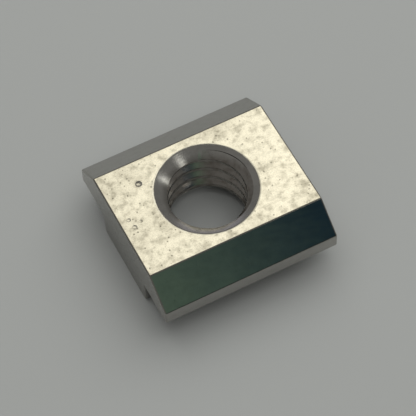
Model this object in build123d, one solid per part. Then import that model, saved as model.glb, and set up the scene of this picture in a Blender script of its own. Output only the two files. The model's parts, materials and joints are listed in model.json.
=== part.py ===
from build123d import *
import math
import os

# Slide-in nut for the T-slot of an aluminium profile: one piece of plated steel, cut from a
# drawn T-section bar, tapped right through and countersunk at both mouths.
#
# Sizes are in millimetres. +X runs along the slot, +Y across it, and +Z from the narrow boss,
# which stands in the mouth of the slot, up to the wide face, which lies deep inside it.
# The origin is on the axis of the thread, in the plane of the boss's lower face.

# The slot that the nut slides in
SLOT_MOUTH = 8.2  # gap between the two lips of the profile
SLOT_CLEARANCE = 0.2  # from the boss to the lip, on each side

# The bar that the nut is cut from
NUT_LENGTH = 15.8  # along the slot
HEAD_WIDTH = 16.0  # over the two upright sides
BOSS_HEIGHT = 2.4  # from the boss's lower face up to the shoulders
SIDE_HEIGHT = 1.5  # upright side, from the shoulder up to the slope
SLOPE_WIDTH = 2.7  # sloped flank, measured across the slot
SLOPE_HEIGHT = 2.1  # sloped flank, measured up to the wide face
CORNER_RADIUS = 0.25  # long outer corners, as the bar is drawn
ROOT_RADIUS = 0.2  # inner corner between the boss and each shoulder
END_BREAK = 0.15  # edges of the two cut ends, broken by tumbling

# The hole
THREAD_DIAMETER = 8.0  # nominal size, coarse metric
THREAD_PITCH = 1.25
THREAD_ANGLE = 60.0  # between the flanks of the thread
FACE_SINK_DIAMETER = 8.8  # mouth of the countersink in the wide face
BOSS_SINK_DIAMETER = 8.8  # mouth of the countersink in the boss, which breaks out at its sides
FACE_SINK_ANGLE = 120.0  # full angle of the countersink in the wide face
BOSS_SINK_ANGLE = 90.0  # full angle of the countersink in the boss
CUT_OVERRUN = 1.0  # how far the cutter runs past each face

# What follows from the sizes above
BOSS_WIDTH = SLOT_MOUTH - 2 * SLOT_CLEARANCE
SLOPE_LEVEL = BOSS_HEIGHT + SIDE_HEIGHT  # where the upright side ends and the slope starts
FACE_LEVEL = SLOPE_LEVEL + SLOPE_HEIGHT  # the wide face
THREAD_TRIANGLE = THREAD_PITCH / 2 / math.tan(math.radians(THREAD_ANGLE / 2))
CORE_RADIUS = THREAD_DIAMETER / 2 - THREAD_TRIANGLE * 5 / 8  # basic crests of a nut's thread
FACE_SINK_SPREAD = math.tan(math.radians(FACE_SINK_ANGLE / 2))  # radius gained over each mm
BOSS_SINK_SPREAD = math.tan(math.radians(BOSS_SINK_ANGLE / 2))


def bar_section():
    """Section of the drawn bar. Its x is across the slot, and its y is height."""
    half_head = HEAD_WIDTH / 2
    half_face = half_head - SLOPE_WIDTH
    head = Polygon(
        (-half_head, BOSS_HEIGHT),
        (half_head, BOSS_HEIGHT),
        (half_head, SLOPE_LEVEL),
        (half_face, FACE_LEVEL),
        (-half_face, FACE_LEVEL),
        (-half_head, SLOPE_LEVEL),
        align=None,
    )
    boss = Pos(0, BOSS_HEIGHT / 2) * Rectangle(BOSS_WIDTH, BOSS_HEIGHT)
    head = fillet(head.vertices(), CORNER_RADIUS)
    boss = fillet(boss.vertices().group_by(Axis.Y)[0], CORNER_RADIUS)
    section = head + boss
    roots = section.vertices().filter_by_position(Axis.X, -BOSS_WIDTH / 2, BOSS_WIDTH / 2)
    return fillet(roots.group_by(Axis.Y)[-1], ROOT_RADIUS)


def cut_blank():
    """One length of the bar, with the edges of its two sawn ends broken."""
    bar = extrude(Plane.YZ * bar_section(), NUT_LENGTH / 2, both=True)
    ends = bar.faces().filter_by(Axis.X)
    return chamfer(ends.edges(), END_BREAK)


def hole_cutter():
    """The tapping hole and its two countersinks, as one outline turned about the thread's axis."""
    face_sink_reach = FACE_SINK_DIAMETER / 2 + CUT_OVERRUN * FACE_SINK_SPREAD
    boss_sink_reach = BOSS_SINK_DIAMETER / 2 + CUT_OVERRUN * BOSS_SINK_SPREAD
    face_sink_depth = (FACE_SINK_DIAMETER / 2 - CORE_RADIUS) / FACE_SINK_SPREAD
    boss_sink_depth = (BOSS_SINK_DIAMETER / 2 - CORE_RADIUS) / BOSS_SINK_SPREAD
    outline = Polygon(
        (0, -CUT_OVERRUN),
        (boss_sink_reach, -CUT_OVERRUN),
        (CORE_RADIUS, boss_sink_depth),
        (CORE_RADIUS, FACE_LEVEL - face_sink_depth),
        (face_sink_reach, FACE_LEVEL + CUT_OVERRUN),
        (0, FACE_LEVEL + CUT_OVERRUN),
        align=None,
    )
    return revolve(Plane.XZ * outline, Axis.Z)


def slot_nut():
    """The whole nut, with a plain hole at the radius of the thread's crests."""
    return cut_blank() - hole_cutter()


os.makedirs("parts", exist_ok=True)
export_step(slot_nut(), "parts/slot_nut.step")
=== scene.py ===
import json
import logging
import math
from dataclasses import dataclass
from enum import Enum
from typing import Callable, Dict, List, Optional, Sequence, Tuple, Union

import bpy
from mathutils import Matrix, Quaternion, Vector


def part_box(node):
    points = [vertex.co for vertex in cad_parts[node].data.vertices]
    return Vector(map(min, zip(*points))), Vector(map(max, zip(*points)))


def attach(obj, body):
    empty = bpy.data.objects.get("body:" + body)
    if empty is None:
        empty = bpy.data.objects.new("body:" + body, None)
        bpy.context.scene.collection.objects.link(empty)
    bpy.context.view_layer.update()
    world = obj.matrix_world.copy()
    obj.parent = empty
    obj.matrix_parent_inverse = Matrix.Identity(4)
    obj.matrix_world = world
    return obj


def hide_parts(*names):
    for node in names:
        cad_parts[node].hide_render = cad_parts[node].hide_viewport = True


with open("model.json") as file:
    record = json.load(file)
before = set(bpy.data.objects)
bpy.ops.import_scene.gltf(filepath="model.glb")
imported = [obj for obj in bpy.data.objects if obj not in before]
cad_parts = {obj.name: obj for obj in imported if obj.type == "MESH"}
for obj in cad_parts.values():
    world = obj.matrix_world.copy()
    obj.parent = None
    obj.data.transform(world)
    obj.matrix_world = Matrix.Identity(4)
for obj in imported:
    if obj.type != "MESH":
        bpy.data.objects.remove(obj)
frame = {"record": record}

# A slide-in nut for a T-slot: the looks of one piece of plated steel with a cut thread.
# Everything is in metres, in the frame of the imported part: +X along the slot, +Y across it
# and +Z up to the wide face, with the origin on the thread's axis at the boss's lower face.

LOG = logging.getLogger("slot_nut")
NODE = "slot_nut"
BODY = "root"
MM = 0.001
WELD = 1e-7  # vertices nearer than this are one vertex
ON_EDGE = 1e-6  # how near an edge's ends lie to the place that it is picked by
SQUARE_ON = 0.99  # how much of its normal a face has along an axis that it is square to
HOLE_MIDDLE = 3.0 * MM  # height halfway between the two mouths of the hole

Colour = Tuple[float, float, float]
Test = Callable[[Vector, Vector], bool]
Inputs = Dict[Union[str, int], object]

# How the shades of wear are drawn from noise, which mostly lies between 0.3 and 0.7
NOISE_MIDDLE = 0.5
NOISE_ROUGHNESS = 0.55
PATCH_WORN = (0.42, 0.72)
CLOUD_WORN = (0.40, 0.70)
GRAIN_WORN = (0.45, 0.75)
PATCH_SHARE, CLOUD_SHARE, GRAIN_SHARE = 0.5, 0.25, 0.25  # of the wear
CLOUD_SIZE = 6  # patches across
WAVE_STRETCH = 3.0
SPECK_CORE = 0.5  # share of a speck's radius inside which it is full


# --------------------------------------------------------------------------------------------
# Modelling by operator
# --------------------------------------------------------------------------------------------


def deselect_everything() -> None:
    """Leave object mode with nothing selected."""
    if bpy.context.object and bpy.context.object.mode != "OBJECT":
        bpy.ops.object.mode_set(mode="OBJECT")
    bpy.ops.object.select_all(action="DESELECT")


def work_on(piece: bpy.types.Object, element: str = "FACE") -> None:
    """Open one piece in edit mode with none of its mesh selected.

    Args:
        piece: The mesh object to edit.
        element: The kind of element to select next: VERT, EDGE or FACE.
    """
    deselect_everything()
    piece.select_set(True)
    bpy.context.view_layer.objects.active = piece
    bpy.ops.object.mode_set(mode="EDIT")
    bpy.ops.mesh.select_mode(type=element)
    bpy.ops.mesh.select_all(action="DESELECT")


def select_faces(piece: bpy.types.Object, test: Test) -> None:
    """Select, in edit mode, the faces whose centre and normal pass a test.

    Args:
        piece: The mesh object that is in edit mode.
        test: Takes a face's centre and its normal.
    """
    bpy.ops.object.mode_set(mode="OBJECT")
    for face in piece.data.polygons:
        face.select = test(face.center, face.normal)
    if not any(face.select for face in piece.data.polygons):
        raise ValueError("no face to select on " + piece.name)
    bpy.ops.object.mode_set(mode="EDIT")


def select_edges(piece: bpy.types.Object, test: Test) -> None:
    """Select, in edit mode, the edges whose two ends pass a test.

    Args:
        piece: The mesh object that is in edit mode.
        test: Takes the places of an edge's two ends.
    """
    bpy.ops.object.mode_set(mode="OBJECT")
    vertices = piece.data.vertices
    for edge in piece.data.edges:
        first, second = (vertices[index].co for index in edge.vertices)
        edge.select = test(first, second)
    if not any(edge.select for edge in piece.data.edges):
        raise ValueError("no edge to select on " + piece.name)
    bpy.ops.object.mode_set(mode="EDIT")


def apply_modifier(piece: bpy.types.Object, kind: str, settings: Dict[str, object]) -> None:
    """Give a piece one modifier and apply it at once.

    Args:
        piece: The mesh object to change.
        kind: The modifier's type, such as SCREW or BOOLEAN.
        settings: The modifier's settings by name.
    """
    deselect_everything()
    bpy.context.view_layer.objects.active = piece
    piece.select_set(True)
    modifier = piece.modifiers.new(kind.title(), kind)
    for name, value in settings.items():
        setattr(modifier, name, value)
    bpy.ops.object.modifier_apply(modifier=modifier.name)


def cut_away(piece: bpy.types.Object, cutter: bpy.types.Object) -> None:
    """Take a cutter out of a piece and use it up.

    Args:
        piece: The mesh object to cut.
        cutter: The closed mesh that is taken out; the new walls keep its material.
    """
    apply_modifier(piece, "BOOLEAN", {
        "operation": "DIFFERENCE",
        "solver": "EXACT",
        "object": cutter,
        "material_mode": "TRANSFER",
    })
    spent = cutter.data
    bpy.data.objects.remove(cutter)
    bpy.data.meshes.remove(spent)


def extruded_line(name: str, points: Sequence[Tuple[float, float]]) -> bpy.types.Object:
    """A line in the XZ plane, drawn by extruding one vertex from point to point.

    Args:
        name: The new object's name.
        points: Radius and height of each point, in order.

    Returns:
        The line as a mesh object, left in edit mode with its last vertex selected.
    """
    deselect_everything()
    bpy.ops.mesh.primitive_plane_add(size=MM, location=(0, 0, 0))
    line = bpy.context.object
    line.name = name
    work_on(line, "VERT")
    bpy.ops.mesh.select_all(action="SELECT")
    bpy.ops.mesh.merge(type="CENTER")
    place = Vector((0, 0, 0))
    for index, (radius, height) in enumerate(points):
        target = Vector((radius, 0, height))
        if index == 0:
            bpy.ops.transform.translate(value=target - place)
        else:
            bpy.ops.mesh.extrude_region_move(TRANSFORM_OT_translate={"value": target - place})
        place = target
    return line


def arc_points(
    corner: Tuple[float, float],
    before: Tuple[float, float],
    after: Tuple[float, float],
    radius: float,
    steps: int,
) -> List[Tuple[float, float]]:
    """Points of the arc that rounds one corner of a line.

    Args:
        corner: The corner that the arc replaces.
        before: Any earlier point on the run into the corner.
        after: Any later point on the run out of it.
        radius: The arc's radius.
        steps: How many chords the arc has.

    Returns:
        The arc's points, from the run in to the run out.
    """
    tip = Vector(corner)
    into = (Vector(before) - tip).normalized()
    out = (Vector(after) - tip).normalized()
    half_angle = into.angle(out) / 2
    centre = tip + (into + out).normalized() * radius / math.sin(half_angle)
    start = tip + into * radius / math.tan(half_angle) - centre
    turn = math.pi - 2 * half_angle
    side = 1 if into.cross(out) < 0 else -1
    points = []
    for step in range(steps + 1):
        angle = side * turn * step / steps
        spoke = Vector((
            start.x * math.cos(angle) - start.y * math.sin(angle),
            start.x * math.sin(angle) + start.y * math.cos(angle),
        ))
        points.append(tuple(centre + spoke))
    return points


def rounded_line(
    points: Sequence[Tuple[float, float, float]],
    steps: int,
) -> List[Tuple[float, float]]:
    """An open line with rounded corners.

    Args:
        points: Radius, height and corner radius of each point; a corner radius of 0 stays sharp.
        steps: How many chords each rounded corner has.

    Returns:
        Radius and height of each point of the rounded line.
    """
    line: List[Tuple[float, float]] = []
    for index, (across, height, corner_radius) in enumerate(points):
        if corner_radius == 0:
            line.append((across, height))
        else:
            before, after = points[index - 1][:2], points[index + 1][:2]
            line += arc_points((across, height), before, after, corner_radius, steps)
    return line


# --------------------------------------------------------------------------------------------
# Shader maths
# --------------------------------------------------------------------------------------------


class Value:
    """A number on a shader socket. Arithmetic on it adds the Math nodes that work it out."""

    def __init__(self, bench: "Bench", socket: bpy.types.NodeSocket) -> None:
        """Wrap one output socket of the bench's tree."""
        self.bench = bench
        self.socket = socket

    def math(self, operation: str, *others: Union["Value", float]) -> "Value":
        """This value and the others put through one Math node.

        Args:
            operation: The Math node's operation, such as MULTIPLY.
            others: The second and third inputs, where the operation has them.

        Returns:
            The node's result.
        """
        inputs = dict(enumerate((self, *others)))
        return self.bench.value("ShaderNodeMath", {"operation": operation}, inputs)

    def __add__(self, other: Union["Value", float]) -> "Value":
        """self + other"""
        return self.math("ADD", other)

    def __sub__(self, other: Union["Value", float]) -> "Value":
        """self - other"""
        return self.math("SUBTRACT", other)

    def __mul__(self, other: Union["Value", float]) -> "Value":
        """self * other"""
        return self.math("MULTIPLY", other)

    def __rsub__(self, other: float) -> "Value":
        """other - self"""
        return (self * -1) + other

    __radd__ = __add__
    __rmul__ = __mul__

    def above(self, start: float, end: float) -> "Value":
        """How far this value is from start to end, with a smooth rise.

        Args:
            start: Where the rise starts.
            end: Where it ends.

        Returns:
            0 below start, 1 above end.
        """
        settings = {"interpolation_type": "SMOOTHSTEP", "clamp": True}
        inputs = {"Value": self, "From Min": start, "From Max": end}
        return self.bench.value("ShaderNodeMapRange", settings, inputs)


class Bench:
    """The node tree of one material or world, with one way to add any node."""

    def __init__(self, owner: Union[bpy.types.Material, bpy.types.World]) -> None:
        """Empty the owner's node tree and work on it.

        Args:
            owner: The material or world that the nodes make.
        """
        self.owner = owner
        self.owner.use_nodes = True
        self.tree = self.owner.node_tree
        self.tree.nodes.clear()

    def node(
        self,
        kind: str,
        settings: Optional[Dict[str, object]] = None,
        inputs: Optional[Inputs] = None,
    ) -> bpy.types.Node:
        """Add one node.

        Args:
            kind: The node's type name.
            settings: Its own settings, which are set before its sockets are.
            inputs: Constants or links for its sockets, by name, identifier or number.

        Returns:
            The new node.
        """
        made = self.tree.nodes.new(kind)
        for name, setting in (settings or {}).items():
            setattr(made, name, setting)
        for key, given in (inputs or {}).items():
            if isinstance(key, int):
                socket = made.inputs[key]
            else:
                named = [s for s in made.inputs if s.enabled and key in (s.identifier, s.name)]
                socket = named[0]
            if isinstance(given, Value):
                self.tree.links.new(given.socket, socket)
            elif isinstance(given, bpy.types.NodeSocket):
                self.tree.links.new(given, socket)
            else:
                socket.default_value = given
        return made

    def value(
        self,
        kind: str,
        settings: Optional[Dict[str, object]] = None,
        inputs: Optional[Inputs] = None,
        output: Union[str, int] = 0,
    ) -> Value:
        """Add one node, as the method above does, and wrap one of its outputs as a number."""
        return Value(self, self.node(kind, settings, inputs).outputs[output])

    def mixed(self, share: Value, low: object, high: object) -> bpy.types.NodeSocket:
        """Blend two colours.

        Args:
            share: How much of the second colour there is, from 0 to 1.
            low: The colour at 0.
            high: The colour at 1.

        Returns:
            The blended colour.
        """
        inputs = {"Factor_Float": share, "A_Color": low, "B_Color": high}
        mix = self.node("ShaderNodeMix", {"data_type": "RGBA"}, inputs)
        return next(s for s in mix.outputs if s.identifier == "Result_Color")

    def noise(self, place: bpy.types.NodeSocket, size: float, detail: float = 3.0) -> Value:
        """Noise from 0 to 1 whose blobs are about one size across.

        Args:
            place: Where the surface is.
            size: Size of a blob in metres.
            detail: How many finer layers it has.

        Returns:
            The noise.
        """
        inputs = {"Vector": place, "Scale": 1 / size, "Detail": detail}
        inputs["Roughness"] = NOISE_ROUGHNESS
        return self.value("ShaderNodeTexNoise", {"noise_dimensions": "3D"}, inputs, "Fac")

    def specks(self, place: bpy.types.NodeSocket, spacing: float, radius: float) -> Value:
        """Round specks: 1 inside them and 0 between them.

        Args:
            place: Where the surface is.
            spacing: About how far apart the specks are.
            radius: Their radius where the surface cuts them in the middle.

        Returns:
            The specks.
        """
        inputs = {"Vector": place, "Scale": 1 / spacing, "Randomness": 1.0}
        distance = self.value("ShaderNodeTexVoronoi", {"feature": "F1"}, inputs, "Distance")
        edge = radius / spacing
        return 1 - distance.above(SPECK_CORE * edge, edge)


# --------------------------------------------------------------------------------------------
# Finishes
# --------------------------------------------------------------------------------------------


class Zone(Enum):
    """The kinds of surface that the nut shows, each with a finish of its own."""

    WIDE_FACE = "rolled_wide_face"
    FLANK = "drawn_flank"
    CUT_END = "sheared_end"
    EDGE = "tumbled_edge"
    SINK = "countersunk_mouth"
    THREAD = "tapped_thread"


class Lay(Enum):
    """Which way the tool marks under the plating run."""

    DRAWN = "along the slot"
    SHEARED = "down the cut end"
    TURNED = "round the axis of the thread"


@dataclass(frozen=True)
class PlatedSteel:
    """Bright plating on steel, with the marks of the tool that made the surface under it."""

    lay: Lay = Lay.DRAWN
    tone: Colour = (0.56, 0.55, 0.51)
    dull_and_shade_tone: Colour = (0.42, 0.405, 0.36)
    dullness: float = 0.6  # share of the dull tone in the dullest patches
    roughness: float = 0.24
    roughness_spread: float = 0.10
    patch_size: float = 0.6 * MM
    grain_size: float = 0.11 * MM
    grain_depth: float = 0.0010 * MM
    streak_size: float = 0.10 * MM
    streak_stretch: float = 16.0
    streak_depth: float = 0.0010 * MM
    wave_size: float = 0.8 * MM
    wave_depth: float = 0.0  # soft unevenness along the lay, which bends what is mirrored
    pit_spacing: float = 0.55 * MM
    pit_radius: float = 0.07 * MM
    pit_depth: float = 0.006 * MM
    pit_shade: float = 0.5  # share of the dull tone in a pit
    deep_painted_shade: float = 0.0  # share of the dull tone painted deep in the hole as shade
    deep_reach: float = 2.3 * MM  # up to this far from the hole's middle the painted shade is full
    mouth_reach: float = 2.7 * MM  # from this far on, at either mouth, there is no painted shade

    def material(self, name: str) -> bpy.types.Material:
        """Build the plating as a material.

        Args:
            name: The material's name.

        Returns:
            The finished material.
        """
        bench = Bench(bpy.data.materials.new(name))
        spot = bench.node("ShaderNodeTexCoord").outputs["Object"]
        patch = bench.noise(spot, self.patch_size, 4.0)
        cloud = bench.noise(spot, self.patch_size * CLOUD_SIZE, 2.0)
        grain = bench.noise(spot, self.grain_size)
        streak_spot = self._along_lay(bench, spot, self.streak_stretch)
        streak = bench.noise(streak_spot, self.streak_size)
        wave = bench.noise(self._along_lay(bench, spot, WAVE_STRETCH), self.wave_size, 1.0)
        pit = bench.specks(spot, self.pit_spacing, self.pit_radius)
        worn = (
            patch.above(*PATCH_WORN) * PATCH_SHARE
            + cloud.above(*CLOUD_WORN) * CLOUD_SHARE
            + grain.above(*GRAIN_WORN) * GRAIN_SHARE
        )
        # Painted shade: darker deep in the hole, towards its middle, and none at either mouth
        level = bench.value("ShaderNodeSeparateXYZ", None, {0: spot}, "Z")
        from_middle = (level - HOLE_MIDDLE).math("ABSOLUTE")
        deep = 1 - from_middle.above(self.deep_reach, self.mouth_reach)
        wear_and_painted_shade = worn * self.dullness + pit * self.pit_shade + deep * self.deep_painted_shade
        colour = bench.mixed(wear_and_painted_shade, (*self.tone, 1), (*self.dull_and_shade_tone, 1))
        unevenness = patch + grain + streak - 3 * NOISE_MIDDLE + pit
        roughness = unevenness * self.roughness_spread + self.roughness
        height = (
            grain * self.grain_depth
            + streak * self.streak_depth
            + wave * self.wave_depth
            - pit * self.pit_depth
        )
        bump = {"Strength": 1.0, "Distance": 1.0, "Height": height}
        relief = bench.node("ShaderNodeBump", None, bump)
        shader = bench.node("ShaderNodeBsdfPrincipled", None, {
            "Base Color": colour,
            "Roughness": roughness,
            "Metallic": 1.0,
            "Normal": relief.outputs[0],
        })
        bench.node("ShaderNodeOutputMaterial", None, {"Surface": shader.outputs[0]})
        return bench.owner

    def _along_lay(
        self,
        bench: Bench,
        spot: bpy.types.NodeSocket,
        stretch: float,
    ) -> bpy.types.NodeSocket:
        """The place on the surface, squeezed along the tool marks to draw out noise on it.

        Args:
            bench: The material being built.
            spot: The place on the surface.
            stretch: How many times longer than wide the noise becomes.

        Returns:
            The squeezed place.
        """
        squeeze = 1 / stretch
        if self.lay is Lay.TURNED:
            axes = bench.node("ShaderNodeSeparateXYZ", None, {0: spot})
            across, along, up = (Value(bench, axes.outputs[index]) for index in range(3))
            radius = (across * across + along * along).math("SQRT")
            turned = {"X": radius, "Y": across * squeeze, "Z": up}
            return bench.node("ShaderNodeCombineXYZ", None, turned).outputs[0]
        squeezed = (squeeze, 1, 1) if self.lay is Lay.DRAWN else (1, 1, squeeze)
        mapping = {"Vector": spot, "Scale": squeezed}
        return bench.node("ShaderNodeMapping", None, mapping).outputs[0]


FINISHES: Dict[Zone, PlatedSteel] = {
    Zone.WIDE_FACE: PlatedSteel(
        tone=(0.86, 0.832, 0.77),
        dull_and_shade_tone=(0.33, 0.312, 0.27),
        dullness=1.15,
        roughness=0.28,
        patch_size=0.75 * MM,
        grain_depth=0.0022 * MM,
        streak_depth=0.0005 * MM,
        pit_radius=0.10 * MM,
    ),
    Zone.FLANK: PlatedSteel(
        tone=(0.44, 0.43, 0.405),
        dull_and_shade_tone=(0.33, 0.32, 0.29),
        roughness=0.11,
        roughness_spread=0.04,
        grain_depth=0.0003 * MM,
        streak_depth=0.0005 * MM,
        wave_depth=0.012 * MM,
        pit_depth=0.001 * MM,
        pit_shade=0.3,
    ),
    Zone.CUT_END: PlatedSteel(
        lay=Lay.SHEARED,
        tone=(0.46, 0.45, 0.42),
        dull_and_shade_tone=(0.32, 0.31, 0.28),
        roughness=0.30,
        streak_depth=0.004 * MM,
    ),
    # Painted dark lines: the darker tone stands in for the dark that the rounded edges and the
    # hole's mouth mirror
    Zone.EDGE: PlatedSteel(
        tone=(0.36, 0.35, 0.325),
        roughness=0.16,
        grain_depth=0.0006 * MM,
        pit_depth=0.0,
    ),
    Zone.SINK: PlatedSteel(
        lay=Lay.TURNED,
        tone=(0.62, 0.61, 0.58),
        dull_and_shade_tone=(0.34, 0.33, 0.305),
        roughness=0.18,
        streak_depth=0.0015 * MM,
        pit_depth=0.0,
        # Painted shade over the inner part of each countersink, towards the thread
        deep_painted_shade=0.8,
        deep_reach=2.38 * MM,
    ),
    Zone.THREAD: PlatedSteel(
        lay=Lay.TURNED,
        tone=(0.62, 0.61, 0.58),
        # The very dark dull tone darkens the wear patches and is also the painted shade deep in
        # the hole
        dull_and_shade_tone=(0.17, 0.14, 0.11),
        dullness=0.5,
        roughness=0.2,
        patch_size=0.45 * MM,
        grain_depth=0.0012 * MM,
        pit_depth=0.0,
        pit_shade=0.0,
        deep_painted_shade=0.45,
    ),
}


# --------------------------------------------------------------------------------------------
# The nut
# --------------------------------------------------------------------------------------------


@dataclass
class BarBlank:
    """A length of the drawn T-section bar that the nut is made of."""

    length: float
    head_width: float
    height: float
    boss_height: float
    boss_width: float = 7.8 * MM
    side_height: float = 1.5 * MM
    slope_width: float = 2.7 * MM
    corner_radius: float = 0.25 * MM
    root_radius: float = 0.2 * MM
    end_break: float = 0.15 * MM
    corner_steps: int = 4
    zones: Tuple[Zone, ...] = (Zone.FLANK, Zone.WIDE_FACE, Zone.CUT_END, Zone.EDGE)

    @property
    def slope_level(self) -> float:
        """Height at which the upright side ends and the slope starts."""
        return self.boss_height + self.side_height

    @property
    def half_face(self) -> float:
        """Half the width of the wide face between its two slopes."""
        return self.head_width / 2 - self.slope_width

    @property
    def edge_slot(self) -> int:
        """The number of the material that rounded edges are finished in."""
        return self.zones.index(Zone.EDGE)

    def build(self, materials: Dict[Zone, bpy.types.Material]) -> bpy.types.Object:
        """Model the blank.

        Args:
            materials: The finished material of each zone.

        Returns:
            The blank, in place, with a material on each of its faces.
        """
        blank = self._head_block()
        self._slope_flanks(blank)
        self._draw_boss(blank)
        self._finish_faces(blank, materials)
        self._round_long_corners(blank)
        self._break_ends(blank)
        return blank

    def _head_block(self) -> bpy.types.Object:
        """A block as large as the head."""
        deselect_everything()
        head_height = self.height - self.boss_height
        bpy.ops.mesh.primitive_cube_add(
            size=1,
            location=(0, 0, self.boss_height + head_height / 2),
            scale=(self.length, self.head_width, head_height),
        )
        bpy.ops.object.transform_apply(location=True, rotation=True, scale=True)
        return bpy.context.object

    def _slope_flanks(self, blank: bpy.types.Object) -> None:
        """Cut the block's two long upper corners off along the slopes.

        Args:
            blank: The block.
        """
        rise = self.height - self.slope_level
        for side in (-1, 1):
            work_on(blank)
            bpy.ops.mesh.select_all(action="SELECT")
            bpy.ops.mesh.bisect(
                plane_co=(0, side * self.head_width / 2, self.slope_level),
                plane_no=(0, side * rise, self.slope_width),
                use_fill=True,
                clear_outer=True,
                threshold=WELD,
            )

    def _draw_boss(self, blank: bpy.types.Object) -> None:
        """Extrude the boss out of the middle of the block's underside.

        Args:
            blank: The block with its slopes.
        """
        half_boss = self.boss_width / 2
        for side in (-1, 1):
            work_on(blank)
            bpy.ops.mesh.select_all(action="SELECT")
            bpy.ops.mesh.bisect(
                plane_co=(0, side * half_boss, 0),
                plane_no=(0, 1, 0),
                threshold=WELD,
            )
        work_on(blank)
        select_faces(
            blank,
            lambda centre, normal: normal.z < -SQUARE_ON and abs(centre.y) < half_boss,
        )
        bpy.ops.mesh.extrude_region_move(
            TRANSFORM_OT_translate={"value": (0, 0, -self.boss_height)},
        )
        bpy.ops.mesh.select_all(action="SELECT")
        bpy.ops.mesh.dissolve_limited(angle_limit=math.radians(1))

    def _finish_faces(
        self,
        blank: bpy.types.Object,
        materials: Dict[Zone, bpy.types.Material],
    ) -> None:
        """Give each face of the sharp blank its zone's material.

        Args:
            blank: The blank, before its edges are rounded.
            materials: The finished material of each zone.
        """
        for zone in self.zones:
            blank.data.materials.append(materials[zone])
        bpy.ops.object.mode_set(mode="OBJECT")
        for face in blank.data.polygons:
            zone = Zone.FLANK
            if face.normal.z > SQUARE_ON:
                zone = Zone.WIDE_FACE
            elif abs(face.normal.x) > SQUARE_ON:
                zone = Zone.CUT_END
            face.material_index = self.zones.index(zone)

    def _round_long_corners(self, blank: bpy.types.Object) -> None:
        """Round each long corner of the bar with the radius that the drawing die left.

        Args:
            blank: The sharp blank.
        """
        half_head, half_boss = self.head_width / 2, self.boss_width / 2
        slope = math.atan2(self.height - self.slope_level, self.slope_width)
        square = math.radians(90)
        corners = (
            (half_boss, self.boss_height, square, self.root_radius),
            (half_boss, 0.0, square, self.corner_radius),
            (half_head, self.boss_height, square, self.corner_radius),
            (half_head, self.slope_level, square - slope, self.corner_radius),
            (self.half_face, self.height, slope, self.corner_radius),
        )
        for across, level, turn, radius in corners:
            work_on(blank, "EDGE")

            def on_corner(first: Vector, second: Vector) -> bool:
                """Tell the long edges at this corner from the rest.

                Args:
                    first: One end of the edge.
                    second: Its other end.

                Returns:
                    True for a long edge at this corner.
                """
                near = all(
                    abs(abs(end.y) - across) < ON_EDGE and abs(end.z - level) < ON_EDGE
                    for end in (first, second)
                )
                return near and abs(first.x - second.x) > self.length / 2

            select_edges(blank, on_corner)
            bpy.ops.mesh.bevel(
                offset=radius * math.tan(turn / 2),
                segments=self.corner_steps,
                affect="EDGES",
                clamp_overlap=False,
                material=self.edge_slot,
            )

    def _break_ends(self, blank: bpy.types.Object) -> None:
        """Round the sharp edges round both cut ends.

        Args:
            blank: The blank with its long corners rounded.
        """
        reach = self.length / 2 - ON_EDGE

        def on_end(first: Vector, second: Vector) -> bool:
            """True for the edges that lie in either cut end."""
            same_end = first.x * second.x > 0
            return same_end and abs(first.x) > reach and abs(second.x) > reach

        work_on(blank, "EDGE")
        select_edges(blank, on_end)
        bpy.ops.mesh.bevel(
            offset=self.end_break,
            segments=self.corner_steps,
            affect="EDGES",
            clamp_overlap=False,
            material=self.edge_slot,
        )
        bpy.ops.object.mode_set(mode="OBJECT")


@dataclass
class HoleSinks:
    """The cutter of the tapping hole and the countersinks at its two mouths."""

    height: float
    core_radius: float
    core_bottom: float
    core_top: float
    mouth_radius: float = 4.4 * MM
    left_for_tap: float = 0.03 * MM  # what the bore leaves inside the crests for the tap to take
    overrun: float = 0.5 * MM
    steps: int = 128
    mouth_steps: int = 4

    def build(self, material: bpy.types.Material) -> bpy.types.Object:
        """Turn the cutter's outline about the axis.

        Args:
            material: What the walls that it cuts are finished in.

        Returns:
            The closed cutter.
        """
        spread = self.mouth_radius - self.core_radius
        lower_slope = self.core_bottom / spread
        upper_slope = (self.height - self.core_top) / spread
        bore_radius = self.core_radius - self.left_for_tap
        outline = [
            (0, -self.overrun),
            (self.mouth_radius + self.overrun / lower_slope, -self.overrun),
            (bore_radius, self.core_bottom + self.left_for_tap * lower_slope),
            (bore_radius, self.core_top - self.left_for_tap * upper_slope),
            (self.mouth_radius + self.overrun / upper_slope, self.height + self.overrun),
            (0, self.height + self.overrun),
        ]
        cutter = extruded_line("sink_cutter", outline)
        bpy.ops.mesh.select_all(action="SELECT")
        bpy.ops.mesh.spin(steps=self.steps, angle=math.tau, center=(0, 0, 0), axis=(0, 0, 1))
        bpy.ops.mesh.select_all(action="SELECT")
        bpy.ops.mesh.remove_doubles(threshold=WELD)
        bpy.ops.mesh.normals_make_consistent(inside=False)
        bpy.ops.object.mode_set(mode="OBJECT")
        cutter.data.materials.append(material)
        return cutter

    def round_mouth(
        self,
        nut: bpy.types.Object,
        radius: float,
        material: bpy.types.Material,
    ) -> None:
        """Round the edge between the wide face and its countersink.

        Args:
            nut: The piece that has been cut.
            radius: How far the rounding reaches from the edge.
            material: What the rounding is finished in.
        """

        def on_mouth(first: Vector, second: Vector) -> bool:
            """Tell the edges of the upper mouth from the rest.

            Args:
                first: One end of the edge.
                second: Its other end.

            Returns:
                True for an edge of the upper mouth.
            """
            return all(
                end.z > self.height - ON_EDGE
                and abs(end.xy.length - self.mouth_radius) < 5 * ON_EDGE
                for end in (first, second)
            )

        nut.data.materials.append(material)
        work_on(nut, "EDGE")
        select_edges(nut, on_mouth)
        bpy.ops.mesh.bevel(
            offset=radius,
            segments=self.mouth_steps,
            affect="EDGES",
            clamp_overlap=False,
            material=len(nut.data.materials) - 1,
        )
        bpy.ops.object.mode_set(mode="OBJECT")


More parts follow.
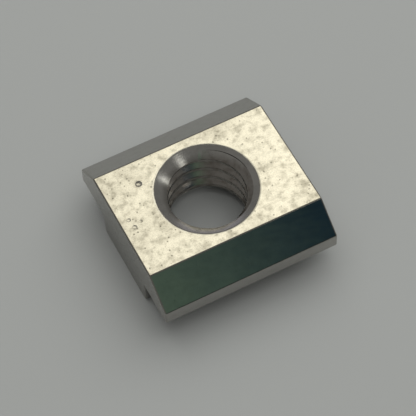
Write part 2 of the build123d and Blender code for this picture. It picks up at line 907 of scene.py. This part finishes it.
@dataclass
class ThreadTap:
    """The cutter of the right-hand thread: a closed screw with rounded crests and roots."""

    height: float
    core_radius: float
    pitch: float = 1.25 * MM
    nominal_radius: float = 4.0 * MM
    crest_round: float = 0.07 * MM
    root_round: float = 0.06 * MM
    overrun: float = 0.8 * MM
    flank_angle: float = 30.0  # between a flank and the plane square to the axis
    spare_below: float = 1.5  # turns wound below the trim, and turns wound beyond both
    spare_turns: int = 3
    steps: int = 112
    corner_steps: int = 3

    def build(self, material: bpy.types.Material) -> bpy.types.Object:
        """Wind one pitch of the thread's outline up the axis.

        Args:
            material: What the walls that it cuts are finished in.

        Returns:
            The closed cutter.
        """
        crest = self.pitch / 4
        flank = (self.nominal_radius - self.core_radius) * math.tan(math.radians(self.flank_angle))
        bottom = -self.overrun - self.pitch * self.spare_below
        points = [
            (self.core_radius, bottom, 0),
            (self.core_radius, bottom + crest, self.crest_round),
            (self.nominal_radius, bottom + crest + flank, self.root_round),
            (self.nominal_radius, bottom + self.pitch - flank, self.root_round),
            (self.core_radius, bottom + self.pitch, 0),
        ]
        tap = extruded_line("tap_cutter", rounded_line(points, self.corner_steps))
        turns = math.ceil((self.height + 2 * self.overrun) / self.pitch) + self.spare_turns
        bpy.ops.object.mode_set(mode="OBJECT")
        apply_modifier(tap, "SCREW", {
            "axis": "Z",
            "angle": math.tau,
            "screw_offset": self.pitch,
            "iterations": turns,
            "steps": self.steps,
            "render_steps": self.steps,
        })
        work_on(tap, "VERT")
        bpy.ops.mesh.select_all(action="SELECT")
        bpy.ops.mesh.remove_doubles(threshold=WELD)
        self._trim(tap, -self.overrun, -1)
        self._trim(tap, self.height + self.overrun, 1)
        bpy.ops.mesh.select_all(action="SELECT")
        bpy.ops.mesh.normals_make_consistent(inside=False)
        bpy.ops.object.mode_set(mode="OBJECT")
        tap.data.materials.append(material)
        return tap

    def _trim(self, tap: bpy.types.Object, level: float, side: int) -> None:
        """Cut the winding off flat at a level and close it there.

        Args:
            tap: The winding, in edit mode; not used, as the cut works on the mesh that is in edit
                mode.
            level: Height of the cut.
            side: 1 to take away what is above, -1 to take away what is below.
        """
        bpy.ops.mesh.select_all(action="SELECT")
        bpy.ops.mesh.bisect(
            plane_co=(0, 0, level),
            plane_no=(0, 0, side),
            use_fill=True,
            clear_outer=True,
            threshold=WELD,
        )


@dataclass(frozen=True)
class Dent:
    """One shallow round dent in the wide face."""

    across: float
    along: float
    width: float
    depth: float
    segments: int = 40
    rings: int = 48

    def cutter(self, level: float, material: bpy.types.Material) -> bpy.types.Object:
        """A ball that cuts the dent.

        Args:
            level: Height of the dented face.
            material: What the dent is finished in.

        Returns:
            The ball, in place.
        """
        radius = (self.width ** 2 / 4 + self.depth ** 2) / (2 * self.depth)
        deselect_everything()
        bpy.ops.mesh.primitive_uv_sphere_add(
            segments=self.segments,
            ring_count=self.rings,
            radius=radius,
            location=(self.across, self.along, level + radius - self.depth),
        )
        bpy.ops.object.transform_apply(location=True, rotation=True, scale=True)
        bpy.context.object.data.materials.append(material)
        return bpy.context.object


DENTS = (
    Dent(-4.74 * MM, 3.07 * MM, 0.62 * MM, 0.090 * MM),
    Dent(-7.01 * MM, 0.27 * MM, 0.36 * MM, 0.030 * MM),
    Dent(-6.86 * MM, -0.58 * MM, 0.42 * MM, 0.035 * MM),
    Dent(-6.17 * MM, -0.28 * MM, 0.34 * MM, 0.028 * MM),
)


@dataclass
class SlotNut:
    """The finished nut: the blank with its hole sunk and tapped, and the dents of handling."""

    blank: BarBlank
    sinks: HoleSinks
    tap: ThreadTap
    dents: Sequence[Dent] = DENTS
    mouth_round: float = 0.12 * MM
    smooth_angle: float = 32.0  # degrees; steeper edges stay sharp

    def build(self) -> bpy.types.Object:
        """Model and dress the nut, and set it on the part's body."""
        materials = {zone: finish.material(zone.value) for zone, finish in FINISHES.items()}
        nut = self.blank.build(materials)
        nut.name = "nut_plated"
        cut_away(nut, self.sinks.build(materials[Zone.SINK]))
        self.sinks.round_mouth(nut, self.mouth_round, materials[Zone.EDGE])
        cut_away(nut, self.tap.build(materials[Zone.THREAD]))
        for dent in self.dents:
            cut_away(nut, dent.cutter(self.blank.height, materials[Zone.WIDE_FACE]))
        self._weld_slivers(nut)
        deselect_everything()
        nut.select_set(True)
        bpy.context.view_layer.objects.active = nut
        bpy.ops.object.shade_smooth_by_angle(angle=math.radians(self.smooth_angle))
        apply_modifier(nut, "WEIGHTED_NORMAL", {"mode": "FACE_AREA", "keep_sharp": True})
        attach(nut, BODY)
        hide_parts(NODE)
        return nut

    def _weld_slivers(self, nut: bpy.types.Object) -> None:
        """Merge the vertices that the cuts left almost on top of each other.

        Args:
            nut: The piece after its last cut.
        """
        work_on(nut, "VERT")
        bpy.ops.mesh.select_all(action="SELECT")
        bpy.ops.mesh.remove_doubles(threshold=WELD)
        bpy.ops.mesh.dissolve_degenerate(threshold=WELD)
        bpy.ops.object.mode_set(mode="OBJECT")


# --------------------------------------------------------------------------------------------
# The studio
# --------------------------------------------------------------------------------------------


def toward(azimuth: float, elevation: float) -> Vector:
    """The direction in which something stands as seen from the nut.

    Args:
        azimuth: Degrees, turned from +X to +Y.
        elevation: Degrees above the floor.

    Returns:
        The direction, one metre long.
    """
    turn, rise = math.radians(azimuth), math.radians(elevation)
    level_reach = math.cos(rise)
    return Vector((math.cos(turn) * level_reach, math.sin(turn) * level_reach, math.sin(rise)))


@dataclass(frozen=True)
class Card:
    """A glowing panel round the nut that only shiny surfaces see."""

    name: str
    azimuth: float
    elevation: float
    width: float  # degrees that it spans as seen from the nut
    height: float
    left_glow: Colour  # at its left side as seen from the nut
    right_glow: Colour
    blend: float = 1.0  # share of its width over which one glow turns into the other
    distance: float = 0.5

    def build(self) -> None:
        """Stand the panel up, facing the nut."""
        wide = 2 * self.distance * math.tan(math.radians(self.width / 2))
        high = 2 * self.distance * math.tan(math.radians(self.height / 2))
        outward = toward(self.azimuth, self.elevation)
        deselect_everything()
        bpy.ops.mesh.primitive_plane_add(size=1, location=outward * self.distance)
        panel = bpy.context.object
        panel.name = self.name
        panel.scale = (wide, high, 1)
        panel.rotation_euler = outward.to_track_quat("Z", "Y").to_euler()
        bench = Bench(bpy.data.materials.new(self.name + "_glow"))
        spot = bench.node("ShaderNodeTexCoord").outputs["Object"]
        across = bench.value("ShaderNodeSeparateXYZ", None, {0: spot}, "X")
        share = across.above(-self.blend / 2, self.blend / 2)
        glow = bench.mixed(share, (*self.right_glow, 1), (*self.left_glow, 1))
        light = bench.node("ShaderNodeBsdfPrincipled", None, {
            "Base Color": (0, 0, 0, 1),
            "Roughness": 1.0,
            "Specular IOR Level": 0.0,
            "Emission Color": glow,
            "Emission Strength": 1.0,
        })
        bench.node("ShaderNodeOutputMaterial", None, {"Surface": light.outputs[0]})
        panel.data.materials.append(bench.owner)
        panel.visible_camera = False
        panel.visible_diffuse = False
        panel.visible_shadow = False


CARDS = (
    Card("window_card", 62, 56, 46, 36, (0.95, 0.91, 0.74), (1.65, 1.58, 1.30)),
    Card("side_lamp_card", -7, 37, 8, 8, (1.8, 1.8, 1.7), (1.8, 1.8, 1.7)),
    Card("front_lamp_card", -50, 55, 9, 8, (1.6, 1.6, 1.5), (1.6, 1.6, 1.5)),
    Card("dark_card", -74.5, 42, 36, 26, (0.006, 0.023, 0.044), (0.155, 0.23, 0.167), 0.36),
    Card("low_dark_card", -76, 13, 60, 32, (0.03, 0.04, 0.045), (0.04, 0.05, 0.05)),
    Card("horizon_card", 78, 4, 80, 8, (0.33, 0.32, 0.36), (0.33, 0.32, 0.36)),
    Card("side_wall_card", 172, 42, 90, 56, (0.19, 0.186, 0.178), (0.19, 0.186, 0.178)),
)


@dataclass(frozen=True)
class Lamp:
    """A square soft light that faces the nut and that shiny surfaces don't see."""

    name: str
    azimuth: float
    elevation: float
    size: float
    power: float  # watts
    distance: float = 0.3

    def build(self) -> None:
        """Hang the light up."""
        light = bpy.data.lights.new(self.name, "AREA")
        light.shape = "SQUARE"
        light.size = self.size
        light.energy = self.power
        lamp = bpy.data.objects.new(self.name, light)
        bpy.context.scene.collection.objects.link(lamp)
        lamp.location = toward(self.azimuth, self.elevation) * self.distance
        lamp.rotation_euler = (-lamp.location).to_track_quat("-Z", "Y").to_euler()
        lamp.visible_camera = False
        lamp.visible_glossy = False


LAMPS = (
    Lamp("key", 50, 64, 0.45, 0.88),
    Lamp("fill", -85, 66, 0.2, 0.11),
)


@dataclass
class Studio:
    """A plain pale floor under a soft light, with panels round it for the metal to mirror."""

    floor_colour: Colour = (0.366, 0.375, 0.360)
    floor_size: float = 4.0
    floor_gap: float = 0.01 * MM
    mirrored_room: Colour = (0.175, 0.172, 0.165)
    ambient: Colour = (0.32, 0.32, 0.32)

    def build(self) -> None:
        """Lay the floor, light the room and stand the panels up."""
        self._floor()
        self._room()
        for fitting in (*LAMPS, *CARDS):
            fitting.build()

    def _floor(self) -> None:
        """Lay a sheet of pale paper just under the nut."""
        deselect_everything()
        bpy.ops.mesh.primitive_plane_add(size=self.floor_size, location=(0, 0, -self.floor_gap))
        floor = bpy.context.object
        floor.name = "floor"
        bench = Bench(bpy.data.materials.new("floor_paper"))
        paper = bench.node("ShaderNodeBsdfPrincipled", None, {
            "Base Color": (*self.floor_colour, 1),
            "Roughness": 0.9,
            "Specular IOR Level": 0.1,
        })
        bench.node("ShaderNodeOutputMaterial", None, {"Surface": paper.outputs[0]})
        floor.data.materials.append(bench.owner)

    def _room(self) -> None:
        """Make the world: the floor's colour to the camera, a dim room to shiny surfaces."""
        world = bpy.data.worlds.new("room")
        bpy.context.scene.world = world
        bench = Bench(world)
        rays = bench.node("ShaderNodeLightPath").outputs
        shown = self._background(bench, self.ambient)
        seen_by = (("Is Glossy Ray", self.mirrored_room), ("Is Camera Ray", self.floor_colour))
        for ray, colour in seen_by:
            inputs = {0: rays[ray], 1: shown, 2: self._background(bench, colour)}
            shown = bench.node("ShaderNodeMixShader", None, inputs).outputs[0]
        bench.node("ShaderNodeOutputWorld", None, {"Surface": shown})

    def _background(self, bench: Bench, colour: Colour) -> bpy.types.NodeSocket:
        """An even room of one colour."""
        return bench.node("ShaderNodeBackground", None, {"Color": (*colour, 1)}).outputs[0]


@dataclass
class Viewpoint:
    """A camera held by hand above the nut's near left end."""

    # Where it stands, from the wide face's centre
    stand: Tuple[float, float, float] = (-35.8 * MM, -80.9 * MM, 135.1 * MM)
    roll: float = -3.84  # degrees
    half_view: float = 6.05  # degrees from the picture's middle to its side
    sensor: float = 36.0
    clip: Tuple[float, float] = (0.01, 20.0)

    def build(self, low: Vector, high: Vector) -> bpy.types.Object:
        """Set the camera up.

        Args:
            low: Lowest corner of the nut's box.
            high: Highest corner of the nut's box.

        Returns:
            The camera, which is now the scene's.
        """
        face_centre = Vector(((low.x + high.x) / 2, (low.y + high.y) / 2, high.z))
        aim = (low + high) / 2
        camera = bpy.data.objects.new("camera", bpy.data.cameras.new("camera"))
        bpy.context.scene.collection.objects.link(camera)
        camera.location = face_centre + Vector(self.stand)
        facing = (aim - camera.location).to_track_quat("-Z", "Y")
        camera.rotation_mode = "QUATERNION"
        camera.rotation_quaternion = facing @ Quaternion((0, 0, 1), math.radians(self.roll))
        camera.data.sensor_width = self.sensor
        camera.data.lens = self.sensor / (2 * math.tan(math.radians(self.half_view)))
        camera.data.clip_start, camera.data.clip_end = self.clip
        bpy.context.scene.camera = camera
        return camera


def main() -> None:
    """Build the studio, the camera and the nut."""
    logging.basicConfig(level=logging.INFO, format="%(name)s: %(message)s")
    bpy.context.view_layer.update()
    low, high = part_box(NODE)
    mounts = {mount["name"]: mount for mount in frame["record"]["mounts"]}
    thread = mounts["thread"]
    core_radius = thread["dims"]["r_mm"] * MM
    half_core = thread["dims"]["length_mm"] * MM / 2
    core_middle = thread["pos_m"][2]
    height = high.z - low.z
    blank = BarBlank(high.x - low.x, high.y - low.y, height, mounts["shoulder_left"]["pos_m"][2])
    sinks = HoleSinks(height, core_radius, core_middle - half_core, core_middle + half_core)
    nut = SlotNut(blank, sinks, ThreadTap(height, core_radius)).build()
    LOG.info("%s: %d faces", nut.name, len(nut.data.polygons))
    Studio().build()
    Viewpoint().build(low, high)
    bpy.context.scene.view_settings.view_transform = "Standard"
    bpy.context.view_layer.update()


if __name__ == "__main__":
    main()
